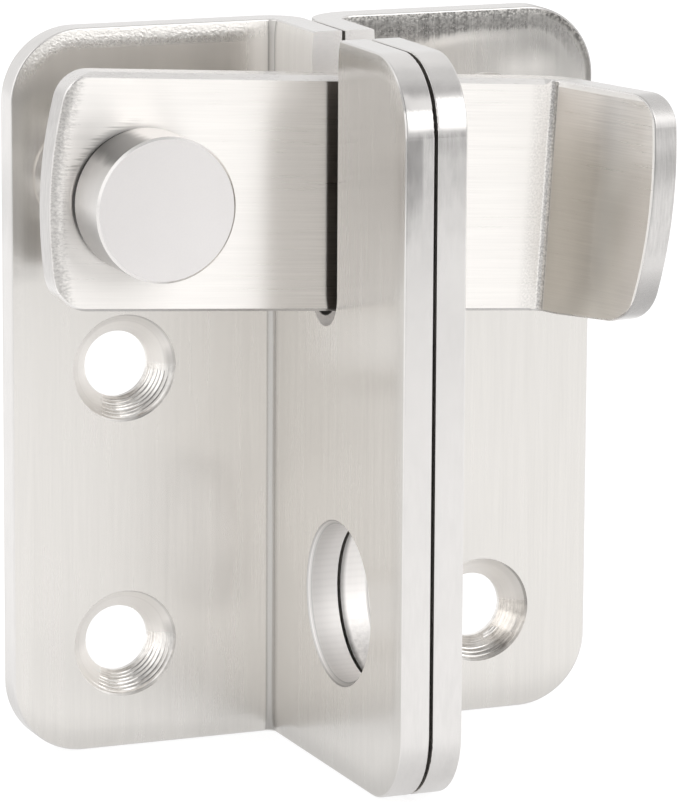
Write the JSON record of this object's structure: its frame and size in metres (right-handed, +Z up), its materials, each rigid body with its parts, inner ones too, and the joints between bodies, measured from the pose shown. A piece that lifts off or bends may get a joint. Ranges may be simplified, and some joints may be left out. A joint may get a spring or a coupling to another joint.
{
  "type": "flip gate latch",
  "caption": "Flip gate latch: back-to-back angle brackets with a padlock hole through both flanges, and a riveted arm with a bent finger tab that drops into open slots.",
  "frame": {"origin": "middle of the latch bracket's two screw holes, on the back of its plate", "axes": "+X along the plates from the latch bracket to the strike bracket, +Y into the wall, +Z up; the flanges stand out towards -Y"},
  "size_m": [0.0614, 0.0348, 0.07],
  "materials": {
    "bracket_steel": "brushed upright, edges polished",
    "arm_steel": "brushed along the arm, edges polished",
    "rivet_steel": "fine matt face, turned side",
    "spacer_steel": "turned",
    "washer_plastic": "natural, matt",
    "washer_black": "black, matt"
  },
  "bodies": {
    "latch": {"latch_bracket": "bracket_steel", "pivot_rivet": "rivet_steel", "spacer_bush": "spacer_steel", "arm_washer": "washer_plastic", "head_washer": "washer_black"},
    "arm": {"flip_arm": "arm_steel"},
    "strike": {"strike_bracket": "bracket_steel"}
  },
  "joints": [
    {"name": "arm_hinge", "type": "hinge", "parent": "latch", "child": "arm", "pos_m": [-0.00375, -0.0163, 0.03233], "axis": [0, -1, 0], "range_deg": [-2.5, 275]},
    {"name": "strike_slide", "type": "slide", "parent": "latch", "child": "strike", "axis": [1, 0, 0], "range_m": [0, 0.01]}
  ]
}
